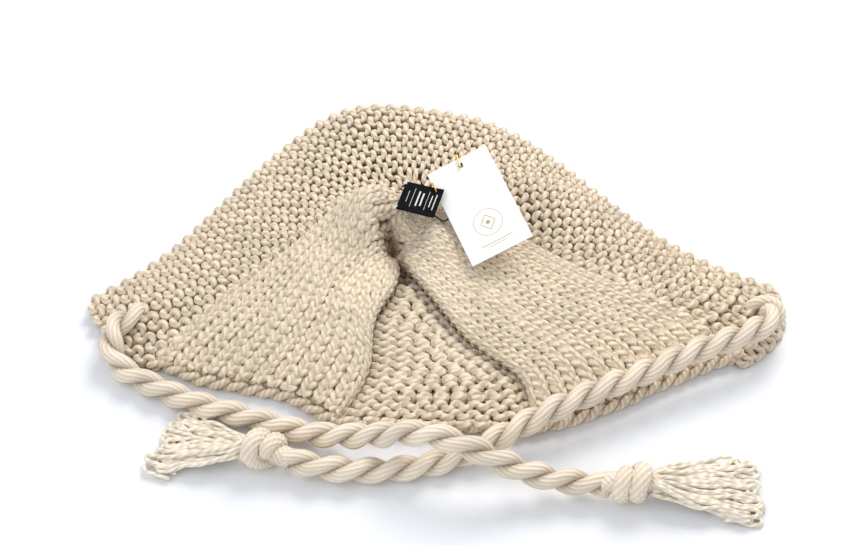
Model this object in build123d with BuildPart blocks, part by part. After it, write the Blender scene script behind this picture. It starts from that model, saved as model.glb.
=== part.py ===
"""Chunky knitted bonnet hat with two tie cords, laid opening-down with its crown sunk in the middle.

The frame is in millimetres: +Z is up, +X runs along the hat from the left flap to the right one, and +Y
points from the nape to the face edge. The origin is on the surface that the hat lies on, under the middle
of the hat without its cords.
"""

import math
import os

from build123d import *

os.makedirs("parts", exist_ok=True)

# Overall size of the laid hat. Plan points below are drawn at the drawn size and stretched to this one.
hat_width = 493.0
hat_depth = 313.0
drawn_width = 493.0
drawn_depth = 313.0

# Knitted fabric
fabric = 9.0  # thickness of the knitting
rim_gap = 0.5  # the face edge stands this far off the surface, and the hem edging rests on it
shoulder_rise = 30.0  # how far the crown stands above its rim
shoulder_run = 52.0  # how fast it rises away from the rim
flap_drop = 0.45  # share of that rise which the flat flaps lose
flap_start = 120.0  # distance from the middle at which the flaps begin to flatten
flap_run = 110.0
nape_sink = 0.66  # the nape gusset's share of the crown's height
grid_step = 10.0  # spacing of the points that the crown surface follows
sheet_tolerance = 0.4  # how closely it follows them
ceiling = 120.0  # height above everything, for cuts

# Edging along the hem
edging_width = 8.0
edging_height = 8.0

# Tie cords, knots and tassels
cord_diameter = 16.5
knot_length = 34.0
knot_width = 31.0
knot_waist = 25.0
knot_clearance = 0.6  # of the knot's axis above half its width, since its wraps bulge a little
tassel_root = 15.0
tassel_height = 13.0

# Woven label and its two sewing stitches
label_length = 28.0  # out from the sewn edge
label_width = 28.5  # along the sewn edge
label_thickness = 0.8
stitch_wire = 1.3
stitch_above = 1.6  # above the label's underside
stitch_depth = 9.0  # below it, into the knitting
stitch_gap = 0.8

# Card hang tag
tag_width = 47.0
tag_length = 84.0
tag_thickness = 0.6
tag_corner = 0.8
hole_radius = 2.1
hole_to_top = 5.8
hole_to_side = 24.5

# Brass pin and black string
pin_wire = 1.1
pin_hole = 1.0  # radius of the pierced hole in the label
pin_cap_width = 2.6
pin_cap_gap = 0.25
string_wire = 1.2

# Plan points, drawn from the left flap to the right one
left_tip = (-246, -42)
right_tip = (243.5, -30)
left_hem_start = (-192, -101)
gusset_left_foot = (-66, -151)
gusset_right_foot = (70, -156)
right_hem_end = (208, -96)
gather = (-20, 34)
gusset_top = (-29, -34)

# Domes and hollows on the crown: x, y, height, reach along x, reach along y
crown_forms = [
    (-43, 3, 34, 27, 23),  # gathered lump beside the label
    (-72, -50, 8, 42, 48),  # full left side
    (-13, -12, -27, 12, 14),  # pit beside the lump
    (-14, 42, -9, 13, 11),  # dimple where the face band is drawn in
    (12, -22, 6, 22, 20),  # rounded start of the right side
    (66, 34, 12, 60, 36),  # high shoulder behind the tag
    (14, -74, 5, 36, 24),  # fold that hangs over the gusset
]


def drawn(point):
    """A drawn plan point, stretched to the hat's own width and depth."""
    x, y = point
    return (x * hat_width / drawn_width, y * hat_depth / drawn_depth)


def curve(start, *rest):
    return Spline(*[drawn(point) for point in (start, *rest)])


def inward(point, neighbours):
    """A point of the hem moved towards the hat by the edging's width, square to its neighbours."""
    (x, y), (ax, ay), (bx, by) = drawn(point), drawn(neighbours[0]), drawn(neighbours[1])
    run = math.hypot(bx - ax, by - ay)
    return (x - edging_width * (by - ay) / run, y + edging_width * (bx - ax) / run)


def through(start, points, end):
    """A seam between two finished places by way of drawn plan points."""
    return Spline(start, *[drawn(point) for point in points], end)


# Hem, from the left flap to the right one
left_hem = [left_hem_start, (-153, -118), (-98, -132), gusset_left_foot]
nape_hem = [gusset_left_foot, (0, -156), gusset_right_foot]
right_hem = [gusset_right_foot, (126, -136), (170, -113), right_hem_end]
hem = left_hem + nape_hem[1:] + right_hem[1:]
seam_side = [
    inward(point, (hem[max(i - 1, 0)], hem[min(i + 1, len(hem) - 1)])) for i, point in enumerate(hem)
]
left_inner = Spline(*seam_side[:4])
nape_inner = Spline(*seam_side[3:6])
right_inner = Spline(*seam_side[5:])
left_outer = curve(*left_hem)
nape_outer = curve(*nape_hem)
right_outer = curve(*right_hem)

# Free edges of the face band, and the seams between the knitted pieces
face_edge = curve(
    left_tip, (-206, -9), (-159, 53), (-107, 124), (-66, 154), (-22, 157),
    (36, 146), (96, 97), (150, 34), (207, -12), right_tip,
)
left_end = curve(left_tip, (-237, -62), (-215, -86), left_hem_start)
right_end = curve(right_hem_end, (232, -83), (244.5, -58), right_tip)
left_cut = Line(drawn(left_hem_start), seam_side[0])
right_cut = Line(seam_side[-1], drawn(right_hem_end))
left_seam = through(seam_side[0], [(-158, -66), (-125, -40), (-92, -4), (-60, 20)], drawn(gather))
right_seam = through(drawn(gather), [(26, 14), (75, -14), (126, -44), (172, -64)], seam_side[-1])
crown_seam = through(drawn(gather), [(-23, 6)], drawn(gusset_top))
gusset_left = through(drawn(gusset_top), [(-39, -61), (-42, -100)], seam_side[3])
gusset_right = through(drawn(gusset_top), [(-17, -62), (10, -94), (40, -120)], seam_side[5])

# Rim of the whole hat as short chords, for the distance of a point from it
rim = []
for edge in (left_end, left_outer, nape_outer, right_outer, right_end):
    rim += [edge @ (i / 40) for i in range(40)]
rim += [face_edge @ (1 - i / 160) for i in range(160)]


def inside_rim(x, y):
    """Whether a plan point is inside the rim."""
    inside = False
    for a, b in zip(rim, rim[1:] + rim[:1]):
        if (a.Y > y) != (b.Y > y) and x < a.X + (b.X - a.X) * (y - a.Y) / (b.Y - a.Y):
            inside = not inside
    return inside


def crown_height(x, y):
    """Height of the knitting's upper side: it rises from the rim, with domes and hollows on top."""
    away = min(math.hypot(x - point.X, y - point.Y) for point in rim)
    edge = fabric + rim_gap
    if not inside_rim(x, y):
        return edge - shoulder_rise * away / shoulder_run
    flat = min(max((abs(x) - flap_start) / flap_run, 0), 1)
    rise = shoulder_rise * (1 - flap_drop * flat * flat * (3 - 2 * flat))
    shoulder = 1 - math.exp(-away / shoulder_run)
    forms = 0
    for form_x, form_y, height, reach_x, reach_y in crown_forms:
        centre_x, centre_y = drawn((form_x, form_y))
        across = (x - centre_x) / reach_x
        along = (y - centre_y) / reach_y
        forms += height * math.exp(-across * across - along * along)
    settle = 1 - math.exp(-away / fabric / 2)
    return edge + rise * shoulder + forms * settle


columns = math.ceil(hat_width / 2 / grid_step) + 2
rows = math.ceil(hat_depth / 2 / grid_step) + 2
crown_places = [
    [(i * grid_step, j * grid_step) for j in range(-rows, rows + 1)] for i in range(-columns, columns + 1)
]
crown_points = [[Vector(x, y, crown_height(x, y)) for x, y in column] for column in crown_places]


def knitted_sheet(share):
    """The upper side of the knitting as one surface, with its height above the rim scaled by share."""
    edge = fabric + rim_gap
    points = [[Vector(p.X, p.Y, edge + share * (p.Z - edge)) for p in column] for column in crown_points]
    return Face.make_surface_from_array_of_points(points, tol=sheet_tolerance, min_deg=3, max_deg=3)


crown_sheet = knitted_sheet(1)
nape_sheet = knitted_sheet(nape_sink)

# Face band: one garter-stitch strip round the face, from flap to flap
with BuildPart() as face_band:
    extrude(to_extrude=crown_sheet, amount=fabric, dir=(0, 0, -1))
    with BuildSketch():
        with BuildLine():
            add([face_edge, right_end, right_cut, right_seam, left_seam, left_cut, left_end])
        make_face()
    extrude(amount=ceiling, mode=Mode.INTERSECT)
face_band.part.label = "face_band"
export_step(face_band.part, "parts/face_band.step")

# Left side: stocking stitch from the hem up to the crown seam
with BuildPart() as left_side_panel:
    extrude(to_extrude=crown_sheet, amount=fabric, dir=(0, 0, -1))
    with BuildSketch():
        with BuildLine():
            add([left_seam, crown_seam, gusset_left, left_inner])
        make_face()
    extrude(amount=ceiling, mode=Mode.INTERSECT)
left_side_panel.part.label = "left_side_panel"
export_step(left_side_panel.part, "parts/left_side_panel.step")

# Right side: stocking stitch from the crown seam down to the hem
with BuildPart() as right_side_panel:
    extrude(to_extrude=crown_sheet, amount=fabric, dir=(0, 0, -1))
    with BuildSketch():
        with BuildLine():
            add([right_seam, crown_seam, gusset_right, right_inner])
        make_face()
    extrude(amount=ceiling, mode=Mode.INTERSECT)
right_side_panel.part.label = "right_side_panel"
export_step(right_side_panel.part, "parts/right_side_panel.step")

# Nape gusset: a triangle of reverse stocking stitch that lies lower than the sides beside it
with BuildPart() as nape_gusset:
    extrude(to_extrude=nape_sheet, amount=fabric, dir=(0, 0, -1))
    with BuildSketch():
        with BuildLine():
            add([gusset_left, gusset_right, nape_inner])
        make_face()
    extrude(amount=ceiling, mode=Mode.INTERSECT)
nape_gusset.part.label = "nape_gusset"
export_step(nape_gusset.part, "parts/nape_gusset.step")

# Hem edging: a crocheted row along the hem from flap to flap
with BuildPart() as hem_edging:
    with BuildSketch():
        with BuildLine():
            add([left_outer, nape_outer, right_outer, right_cut])
            add([right_inner, nape_inner, left_inner, left_cut])
        make_face()
    extrude(amount=edging_height)
hem_edging.part.label = "hem_edging"
export_step(hem_edging.part, "parts/hem_edging.step")

# Tie cords: each leaves its flap, lies along the hem and ends in a knot
left_route = [
    (-203, -56, 12), (-215, -68, 21), (-225, -84, 19), (-219, -104, 10), (-196, -119, 9),
    (-160, -137, 9), (-122, -149, 9), (-84, -163, 10), (-46, -173, 21), (-8, -183, 41),
    (24, -196, 41), (58, -202, 22), (90, -204, 13), (113, -205, 13),
]
right_route = [
    (226, -50, 14), (239, -63, 25), (232, -82, 30), (207, -96, 31), (174, -109, 31),
    (141, -126, 30), (107, -141, 29), (74, -157, 27), (44, -170, 17), (14, -182, 9),
    (-22, -191, 9), (-60, -193, 11), (-84, -189, 13), (-98, -184, 13),
]


def arc_radii(route):
    """The arc at each corner of a route: 0.45 of its shorter run, over the tangent of half the turn."""
    points = [Vector(*point) for point in route]
    radii = []
    for before, here, after in zip(points, points[1:], points[2:]):
        turn = math.radians((here - before).get_angle(after - here))
        shorter = min((here - before).length, (after - here).length)
        radii.append(0.45 * shorter / math.tan(turn / 2))
    return radii


def report_tube(name, tube, path, radii):
    """Prints a cord's arcs, its length and how its volume compares with section times length."""
    section = math.pi * (cord_diameter / 2) ** 2
    length = sum(edge.length for edge in path.line.edges())
    print(name, "radii", [round(radius) for radius in radii])
    print(name, "length", round(length, 1), "volume ratio", round(tube.part.volume / (section * length), 4))


with BuildPart() as left_tie_cord:
    with BuildLine() as left_path:
        FilletPolyline(*left_route, radius=arc_radii(left_route))
    with BuildSketch(left_path.line ^ 0):
        Circle(cord_diameter / 2)
    sweep()
left_tie_cord.part.label = "left_tie_cord"
export_step(left_tie_cord.part, "parts/left_tie_cord.step")
report_tube("left_tie_cord", left_tie_cord, left_path, arc_radii(left_route))

with BuildPart() as right_tie_cord:
    with BuildLine() as right_path:
        FilletPolyline(*right_route, radius=arc_radii(right_route))
    with BuildSketch(right_path.line ^ 0):
        Circle(cord_diameter / 2)
    sweep()
right_tie_cord.part.label = "right_tie_cord"
export_step(right_tie_cord.part, "parts/right_tie_cord.step")
report_tube("right_tie_cord", right_tie_cord, right_path, arc_radii(right_route))


def along_end(path):
    """A plane at the far end of a cord with its z along the cord and its y upwards."""
    end = path.line @ 1
    ahead = path.line % 1
    level = Vector(ahead.X, ahead.Y, 0).normalized()
    return Plane(origin=end, x_dir=level.cross(Vector(0, 0, 1)), z_dir=level)


def knot_profile():
    """Half of a knot's outline: two rounded wraps with a shallow waist between them."""
    with BuildSketch(Plane.XZ) as half:
        with BuildLine():
            outline = Spline(
                (cord_diameter / 2, 0),
                (knot_width / 2, knot_length * 0.27),
                (knot_waist / 2, knot_length * 0.52),
                (knot_width / 2 - 0.5, knot_length * 0.75),
                (tassel_root / 2, knot_length),
            )
            Polyline(outline @ 1, (0, knot_length), (0, 0), outline @ 0)
        make_face()
    return half.sketch


with BuildPart() as knot_at_origin:
    add(knot_profile())
    revolve(axis=Axis.Z)


def seated(shape, path, lift):
    """The shape moved to the end of a cord, and up by lift."""
    plane = along_end(path)
    return Plane(origin=plane.origin + Vector(0, 0, lift), x_dir=plane.x_dir, z_dir=plane.z_dir) * shape


def knot_lift(path):
    """How far a knot's axis is above its cord's end, so that the knot rests on the surface."""
    return max(knot_width / 2 + knot_clearance - (path.line @ 1).Z, 0)


left_knot = seated(knot_at_origin.part, left_path, knot_lift(left_path))
left_knot.label = "left_knot"
export_step(left_knot, "parts/left_knot.step")

right_knot = seated(knot_at_origin.part, right_path, knot_lift(right_path))
right_knot.label = "right_knot"
export_step(right_knot, "parts/right_knot.step")


def tassel(path, length, spread, sideways):
    """A flattened fan of loose yarn ends behind a knot, whose tips lie sideways of its root."""
    plane = along_end(path)
    root = plane.origin + Vector(0, 0, knot_lift(path)) + plane.z_dir * knot_length
    stations = [
        (0, tassel_root, tassel_root),
        (0.45, 0.8 * spread, tassel_height + 2),
        (1, spread, tassel_height),
    ]
    with BuildPart() as fan:
        for share, wide, high in stations:
            level = root.Z + share * (high / 2 + 0.4 - root.Z)
            centre = root + plane.z_dir * (share * length) + plane.x_dir * (share * sideways)
            with BuildSketch(Plane((centre.X, centre.Y, level), x_dir=plane.x_dir, z_dir=plane.z_dir)):
                Ellipse(wide / 2, high / 2)
        loft()
    return fan.part


left_tassel = tassel(left_path, length=66, spread=44, sideways=-6)
left_tassel.label = "left_tassel"
export_step(left_tassel, "parts/left_tassel.step")

right_tassel = tassel(right_path, length=54, spread=38, sideways=-4)
right_tassel.label = "right_tassel"
export_step(right_tassel, "parts/right_tassel.step")

# Woven label: sewn to the lump by one edge, its other end free over the hang tag
label_seat = (-23.4, 8.6)  # drawn plan place of the middle of the sewn edge
label_level = 62.0
label_seat_x, label_seat_y = drawn(label_seat)
label_origin = (label_seat_x, label_seat_y, label_level)
label_plane = Plane(origin=label_origin, x_dir=(27, -7.4, -1), z_dir=(0.037, 0, 1))
pin_inset = 5.0  # pierced hole, in from the label's free edge
pin_from_side = 4.0  # and in from its upper side edge
pierced = (label_length - pin_inset, label_width / 2 - pin_from_side)
with BuildPart() as woven_label:
    with BuildSketch(label_plane):
        with Locations((label_length / 2, 0)):
            Rectangle(label_length, label_width)
        with Locations(pierced):
            Circle(pin_hole, mode=Mode.SUBTRACT)
    extrude(amount=label_thickness)
woven_label.part.label = "woven_label"
export_step(woven_label.part, "parts/woven_label.step")

# Two sewing stitches that hold the label's corners, as one group
with BuildPart() as label_stitches:
    for side in (-1, 1):
        with BuildSketch(
            Plane(
                origin=label_plane.from_local_coords(
                    Vector(-stitch_gap, side * (label_width / 2 - 1.5), -stitch_depth)
                ),
                x_dir=label_plane.x_dir,
                z_dir=label_plane.z_dir,
            )
        ):
            with Locations((-stitch_wire / 2, 0)):
                Circle(stitch_wire / 2)
        extrude(amount=stitch_depth + stitch_above)
label_stitches.part.label = "label_stitches"
export_step(label_stitches.part, "parts/label_stitches.step")

# Card hang tag: its plane's origin is the punched hole, x across the card and y up it
tag_plane = Plane(origin=(19.2, 34.5, 66.5), x_dir=(41.6, 14.4, 15.7), z_dir=(-0.253, -0.278, 0.927))
with BuildPart() as hang_tag:
    with BuildSketch(tag_plane):
        with Locations((tag_width / 2 - hole_to_side, hole_to_top - tag_length / 2)):
            RectangleRounded(tag_width, tag_length, tag_corner)
        Circle(hole_radius, mode=Mode.SUBTRACT)
    extrude(amount=tag_thickness)
hang_tag.part.label = "hang_tag"
export_step(hang_tag.part, "parts/hang_tag.step")


def on_label(x, y, z):
    return label_plane.from_local_coords(Vector(x, y, z))


def on_tag(x, y, z):
    return tag_plane.from_local_coords(Vector(x, y, z))


# Brass pin: from its clasp it pierces the label, turns over the label's side edge, runs behind the tag,
# turns over the tag's top edge and comes back through the punched hole to the clasp
pierced_x, pierced_y = pierced
pin_front = tag_thickness + 1.1
pin_route = [
    on_tag(-12, -6.5, -3),
    on_tag(-26, -14, -3),
    on_tag(-30, -17.5, 2.5),
    on_label(pierced_x, pierced_y, -4),
    on_label(pierced_x, pierced_y, label_thickness + 2.2),
    on_label(pierced_x - 5, label_width / 2 + 2.4, label_thickness + 2.2),
    on_label(pierced_x - 8, label_width / 2 + 3, -4.5),
    on_tag(-22, -5, -4.5),
    on_tag(-3, hole_to_top + 1.2, -4.2),
    on_tag(0.9, hole_to_top + 4.6, -1),
    on_tag(0.9, hole_to_top + 3, pin_front + 0.6),
    on_tag(-1.1, -3.2, pin_front + 0.9),
    on_tag(-0.5, -0.5, pin_front - 1),
    on_tag(-0.5, -0.5, -3),
    on_tag(-8, -4.3, -3),
]
with BuildPart() as tag_pin:
    with BuildLine() as pin_path:
        FilletPolyline(*pin_route, radius=[min(3, radius) for radius in arc_radii(pin_route)])
    with BuildSketch(pin_path.line ^ 0):
        Circle(pin_wire / 2)
    sweep()
tag_pin.part.label = "tag_pin"
export_step(tag_pin.part, "parts/tag_pin.step")

# Clasp: a small capped barrel that holds both ends of the pin's wire
clasp_start, clasp_end = on_tag(-13.5, -7.3, -3), on_tag(-6.5, -3.5, -3)
with BuildPart() as pin_clasp:
    with BuildSketch(Plane(origin=clasp_start, z_dir=clasp_end - clasp_start)):
        Ellipse(pin_cap_width / 2, pin_cap_width / 2 - pin_cap_gap)
    extrude(amount=(clasp_end - clasp_start).length)
pin_clasp.part.label = "pin_clasp"
export_step(pin_clasp.part, "parts/pin_clasp.step")

# Black string: from a stop in front of the punched hole, behind the tag, to the label's fold
string_route = [
    on_tag(1, 0.3, tag_thickness + 1.4),
    on_tag(1, 0.3, -3),
    on_tag(-5, -14, -4),
    on_tag(-20, -31, -4),
    on_tag(-29, -35, -1),
    on_tag(-31, -34, 6),
    on_label(label_length - 6, -8, -1.7),
]
with BuildPart() as tag_string:
    with BuildLine() as string_path:
        FilletPolyline(*string_route, radius=[min(6, radius) for radius in arc_radii(string_route)])
    with BuildSketch(string_path.line ^ 0):
        Circle(string_wire / 2)
    sweep()
tag_string.part.label = "tag_string"
export_step(tag_string.part, "parts/tag_string.step")

# Joint axes, printed for the record
for name, origin, axis in (
    ("label_fold", on_label(0, 0, label_thickness / 2), label_plane.y_dir * -1),
    ("pin_swivel", on_label(pierced_x, pierced_y, 0), label_plane.z_dir),
    ("tag_swing", on_tag(0, 0, 0), tag_plane.z_dir),
):
    print(name, [round(v / 1000, 6) for v in origin], [round(v, 6) for v in axis])
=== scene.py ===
"""Looks of the knitted bonnet hat: real yarn loops, plied cords, tassels, label and tag around the CAD frame.

The frame is in metres, as packed. Plan points and yarn sizes below are in millimetres, as in the CAD, and are
turned into metres where a mesh is made. +X runs from the left flap to the right one, +Y to the face edge.
"""

import math

import bpy
import numpy as np
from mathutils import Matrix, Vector
from mathutils.bvhtree import BVHTree


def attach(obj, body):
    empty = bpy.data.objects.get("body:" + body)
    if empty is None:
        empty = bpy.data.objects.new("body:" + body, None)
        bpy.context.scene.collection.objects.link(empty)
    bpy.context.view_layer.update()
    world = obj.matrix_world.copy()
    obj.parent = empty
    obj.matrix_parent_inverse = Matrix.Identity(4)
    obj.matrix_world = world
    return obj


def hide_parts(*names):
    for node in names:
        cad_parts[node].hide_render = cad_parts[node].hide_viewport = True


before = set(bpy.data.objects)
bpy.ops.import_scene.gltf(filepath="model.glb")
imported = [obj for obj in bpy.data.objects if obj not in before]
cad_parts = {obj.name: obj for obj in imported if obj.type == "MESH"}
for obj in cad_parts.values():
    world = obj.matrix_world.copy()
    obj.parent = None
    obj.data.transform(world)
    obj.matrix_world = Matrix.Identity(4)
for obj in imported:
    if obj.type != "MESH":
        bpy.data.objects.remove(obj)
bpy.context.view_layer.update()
MM = 0.001
UP = np.array([0, 0, 1.0])

# ---------------------------------------------------------------- camera
camera_data = bpy.data.cameras.new("camera")
camera_data.lens = 70
camera_data.sensor_width = 36
camera_data.shift_x = -0.0082
camera_data.shift_y = 0.0088
camera = bpy.data.objects.new("camera", camera_data)
camera.location = (0, -0.8236, 0.8969)
camera.rotation_euler = (math.radians(42), 0, 0)
bpy.context.scene.collection.objects.link(camera)
bpy.context.scene.camera = camera


# ---------------------------------------------------------------- curves, grids and meshes
def unit(v):
    return v / np.maximum(np.linalg.norm(v, axis=-1, keepdims=True), 1e-9)


def run_of(points):
    """Length along a line up to each of its points."""
    return np.concatenate(([0], np.cumsum(np.linalg.norm(np.diff(points, axis=0), axis=1))))


def even(points, count):
    """The same line as count points, evenly spaced by length."""
    run = run_of(points)
    at = np.linspace(0, run[-1], count)
    return np.stack([np.interp(at, run, points[:, k]) for k in range(points.shape[1])], axis=1)


def spline(points, count=240):
    """A smooth line through points, evenly spaced."""
    p = np.array(points, float)
    t = run_of(p)
    h = np.diff(t)
    n = len(p)
    matrix, right = np.eye(n), np.zeros_like(p)
    for i in range(1, n - 1):
        matrix[i, i - 1 : i + 2] = h[i - 1], 2 * (h[i - 1] + h[i]), h[i]
        right[i] = 6 * ((p[i + 1] - p[i]) / h[i] - (p[i] - p[i - 1]) / h[i - 1])
    m = np.linalg.solve(matrix, right)
    s = np.linspace(0, t[-1], count * 4)
    k = np.clip(np.searchsorted(t, s, side="right") - 1, 0, n - 2)
    d, span = (s - t[k])[:, None], h[k][:, None]
    slope = (p[k + 1] - p[k]) / span - span * (2 * m[k] + m[k + 1]) / 6
    return even(p[k] + d * slope + d * d * m[k] / 2 + d**3 * (m[k + 1] - m[k]) / (6 * span), count)


def along(curve, share):
    """Points of an evenly spaced curve at shares of its length, carried straight on past its ends."""
    x = np.asarray(share) * (len(curve) - 1)
    k = np.clip(np.floor(x).astype(int), 0, len(curve) - 2)
    f = (x - k)[..., None]
    return curve[k] * (1 - f) + curve[k + 1] * f


def between(grid, x, y):
    """Values between the points of a grid, at places counted in its steps."""
    i = np.minimum(x.astype(int), grid.shape[0] - 2)
    k = np.minimum(y.astype(int), grid.shape[1] - 2)
    f, g = x - i, y - k
    return (
        grid[i, k] * (1 - f) * (1 - g) + grid[i + 1, k] * f * (1 - g)
        + grid[i, k + 1] * (1 - f) * g + grid[i + 1, k + 1] * f * g
    )


def grid_quads(n, m):
    """Quads between n by m points."""
    i, k = np.meshgrid(np.arange(n - 1), np.arange(m - 1), indexing="ij")
    return np.stack([i * m + k, (i + 1) * m + k, (i + 1) * m + k + 1, i * m + k + 1], -1).reshape(-1, 4)


def mesh_object(name, verts, quads, uvs=None, material=None, fronts=None):
    """A smooth-shaded mesh object of quads, from points in metres."""
    mesh = bpy.data.meshes.new(name)
    mesh.vertices.add(len(verts))
    mesh.vertices.foreach_set("co", np.asarray(verts, np.float32).ravel())
    mesh.loops.add(quads.size)
    mesh.loops.foreach_set("vertex_index", quads.astype(np.int32).ravel())
    mesh.polygons.add(len(quads))
    mesh.polygons.foreach_set("loop_start", np.arange(0, quads.size, 4, dtype=np.int32))
    mesh.update(calc_edges=True)
    mesh.validate()
    mesh.polygons.foreach_set("use_smooth", np.ones(len(mesh.polygons), bool))
    for map_name, values in (("yarn", uvs), ("front", fronts)):
        if values is not None:
            layer = mesh.uv_layers.new(name=map_name)
            layer.data.foreach_set("uv", np.asarray(values, np.float32).ravel())
    if material:
        mesh.materials.append(material)
    made = bpy.data.objects.new(name, mesh)
    bpy.context.scene.collection.objects.link(made)
    return made


class Yarn:
    """Tubes of yarn gathered into one mesh, with two UV maps.

    "yarn" holds length in millimetres and share of the way round; "front" holds how light the painted shade
    leaves the yarn: lower for yarn set further in, in folds, and on each tube's sides and underside.
    """

    end_radius = 0.25  # radius at a tube's two ends, as a share of the rest
    underside_shade = 0.35  # painted shade: how much darker a tube's sides are than its top, and twice that its underside

    def __init__(self):
        self.verts, self.quads, self.uvs, self.fronts, self.total = [], [], [], [], 0

    def add(self, path, normal, radius, sides=10, lobes=3, depth=0.07, pitch=16.0, front=1.0):
        """A tube along path, in millimetres. The radius may change along it; lobes turn once per pitch; front
        sets how light the painted shade leaves it.
        """
        path = np.asarray(path, float)
        n = len(path)
        tangent = unit(np.gradient(path, axis=0))
        side = unit(np.cross(tangent, np.broadcast_to(normal, path.shape)))
        up = np.cross(side, tangent)
        run = run_of(path)
        angle = np.arange(sides) / sides * 2 * math.pi
        radius = np.broadcast_to(radius, (n,)).astype(float).copy()
        radius[[0, -1]] *= self.end_radius
        turn = angle[None, :] - (2 * math.pi * run / pitch)[:, None]
        r = radius[:, None] * (1 + depth * np.cos(lobes * turn))
        ring = (
            path[:, None, :]
            + side[:, None, :] * (r * np.cos(angle))[:, :, None]
            + up[:, None, :] * (r * np.sin(angle))[:, :, None]
        )
        i, k = np.meshgrid(np.arange(n - 1), np.arange(sides), indexing="ij")
        after = (k + 1) % sides
        quads = np.stack([i * sides + k, i * sides + after, (i + 1) * sides + after, (i + 1) * sides + k], -1)
        share = np.stack([k, k + 1, k + 1, k], -1) / sides
        length = np.stack([run[i], run[i], run[i + 1], run[i + 1]], -1)
        self.verts.append(ring.reshape(-1, 3))
        self.quads.append(quads.reshape(-1, 4) + self.total)
        self.uvs.append(np.stack([length, share], -1).reshape(-1, 2))
        # Painted shade: a tube's sides and underside are darker than its top
        ahead = np.broadcast_to(front, (n,))[:, None] + self.underside_shade * np.sin(angle) - self.underside_shade
        quad_shade = np.stack([ahead[i, k], ahead[i, after], ahead[i + 1, after], ahead[i + 1, k]], -1)
        self.fronts.append(np.stack([quad_shade, np.zeros_like(quad_shade)], -1).reshape(-1, 2))
        self.total += n * sides

    def build(self, name, material):
        """The tubes as one mesh object, with nothing under the floor."""
        verts, quads = np.concatenate(self.verts) * MM, np.concatenate(self.quads)
        verts[:, 2] = np.maximum(verts[:, 2], 0)
        uvs, fronts = np.concatenate(self.uvs), np.concatenate(self.fronts)
        return mesh_object(name, verts, quads, uvs, material, fronts)


def sheet_object(name, points, material):
    """A grid of points in millimetres, shape (n, m, 3), as one sheet of cloth."""
    return mesh_object(name, points.reshape(-1, 3) * MM, grid_quads(*points.shape[:2]), None, material)


# ---------------------------------------------------------------- materials
def nodes_of(name):
    """A new material, its node tree and its shader."""
    material = bpy.data.materials.new(name)
    material.use_nodes = True
    tree = material.node_tree
    return material, tree, tree.nodes["Principled BSDF"]


def link(tree, a, a_out, b, b_in):
    tree.links.new(a.outputs[a_out], b.inputs[b_in])


def set_inputs(node, values):
    for name, value in values.items():
        node.inputs[name].default_value = value


def maths(tree, operation, second=0.0):
    """A maths node, with a value for its second input."""
    made = tree.nodes.new("ShaderNodeMath")
    made.operation = operation
    made.inputs[1].default_value = second
    return made


def noise(tree, place, scale, detail):
    """A noise texture that follows the object's own coordinates."""
    made = tree.nodes.new("ShaderNodeTexNoise")
    set_inputs(made, {"Scale": scale, "Detail": detail})
    link(tree, place, "Object", made, "Vector")
    return made


def map_range(tree, source, values):
    """A map-range node over another node's first output."""
    made = tree.nodes.new("ShaderNodeMapRange")
    set_inputs(made, values)
    link(tree, source, 0, made, 0)
    return made


def colour_mix(tree, values):
    """A node that mixes two colours, A and B."""
    made = tree.nodes.new("ShaderNodeMix")
    made.data_type = "RGBA"
    set_inputs(made, values)
    return made


def map_values(tree, name):
    """The two values that a UV map of the mesh holds."""
    layer = tree.nodes.new("ShaderNodeUVMap")
    layer.uv_map = name
    made = tree.nodes.new("ShaderNodeSeparateXYZ")
    link(tree, layer, 0, made, 0)
    return made


def add_relief(tree, height, shader, strength, distance):
    """Bump on a shader, from another node's first output."""
    relief = tree.nodes.new("ShaderNodeBump")
    set_inputs(relief, {"Strength": strength, "Distance": distance})
    link(tree, height, 0, relief, "Height")
    link(tree, relief, 0, shader, "Normal")


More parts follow.
